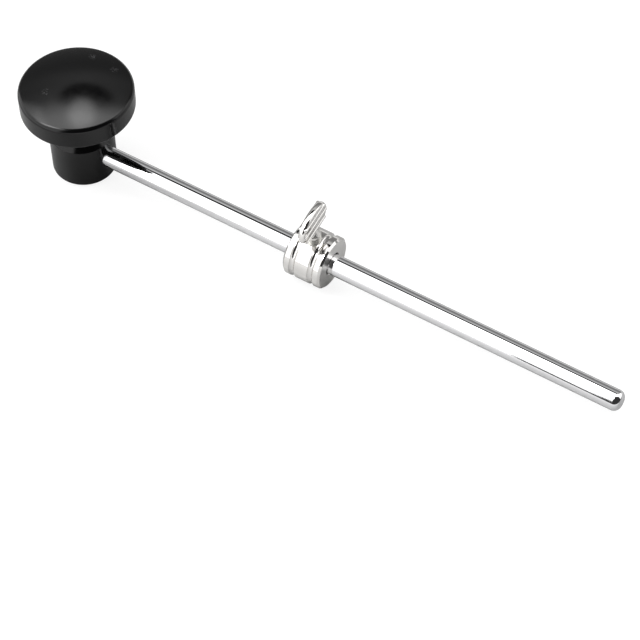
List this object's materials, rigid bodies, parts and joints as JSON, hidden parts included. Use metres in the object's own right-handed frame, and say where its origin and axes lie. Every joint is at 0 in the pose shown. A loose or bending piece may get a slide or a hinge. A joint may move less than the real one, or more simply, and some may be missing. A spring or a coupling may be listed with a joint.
{
  "type": "bass drum beater",
  "caption": "Bass drum beater with a round moulded head on a plain steel rod, and a counterweight collar that slides and turns on the rod under a ribbed wing screw.",
  "frame": {"origin": "centre of the boss's rear face, on the head's axis", "axes": "+Z along the head's axis towards the striking face, +X along the rod towards its free end, +Y completes the right-handed frame"},
  "size_m": [0.2536, 0.0438, 0.0456],
  "materials": {
    "head_black": "glossy moulded",
    "insert_brass": "turned",
    "lock_steel": "black oxide",
    "rod_chrome": "polished plating",
    "weight_chrome": "turned and plated",
    "ring_rubber": "matte",
    "pad_plastic": "matte",
    "wing_chrome": "forged and plated"
  },
  "bodies": {
    "beater": {"head_shell": "head_black", "head_insert": "insert_brass", "lock_screw": "lock_steel", "rod": "rod_chrome"},
    "friction_rings": {"friction_rings": "ring_rubber"},
    "counterweight": {"counterweight": "weight_chrome"},
    "clamp_pad": {"clamp_pad": "pad_plastic"},
    "wing_screw": {"wing_screw": "wing_chrome"}
  },
  "joints": [
    {"name": "weight_slide", "type": "slide", "parent": "beater", "child": "friction_rings", "axis": [1, 0, 0], "range_m": [-0.0725, 0.115]},
    {"name": "weight_turn", "type": "hinge", "parent": "friction_rings", "child": "counterweight", "pos_m": [0.1046, 0, 0.0103], "axis": [1, 0, 0], "continuous": true},
    {"name": "pad_travel", "type": "slide", "parent": "counterweight", "child": "clamp_pad", "axis": [0, -0.0698, 0.9976], "range_m": [0, 0.004]},
    {"name": "wing_screw_turn", "type": "hinge", "parent": "clamp_pad", "child": "wing_screw", "pos_m": [0.1046, 0, 0.0103], "axis": [0, -0.0698, 0.9976], "range_deg": [0, 1440]}
  ],
  "couplings": [
    {"joint": "pad_travel", "follows": "wing_screw_turn", "m_per_rad": 0.00015915}
  ]
}
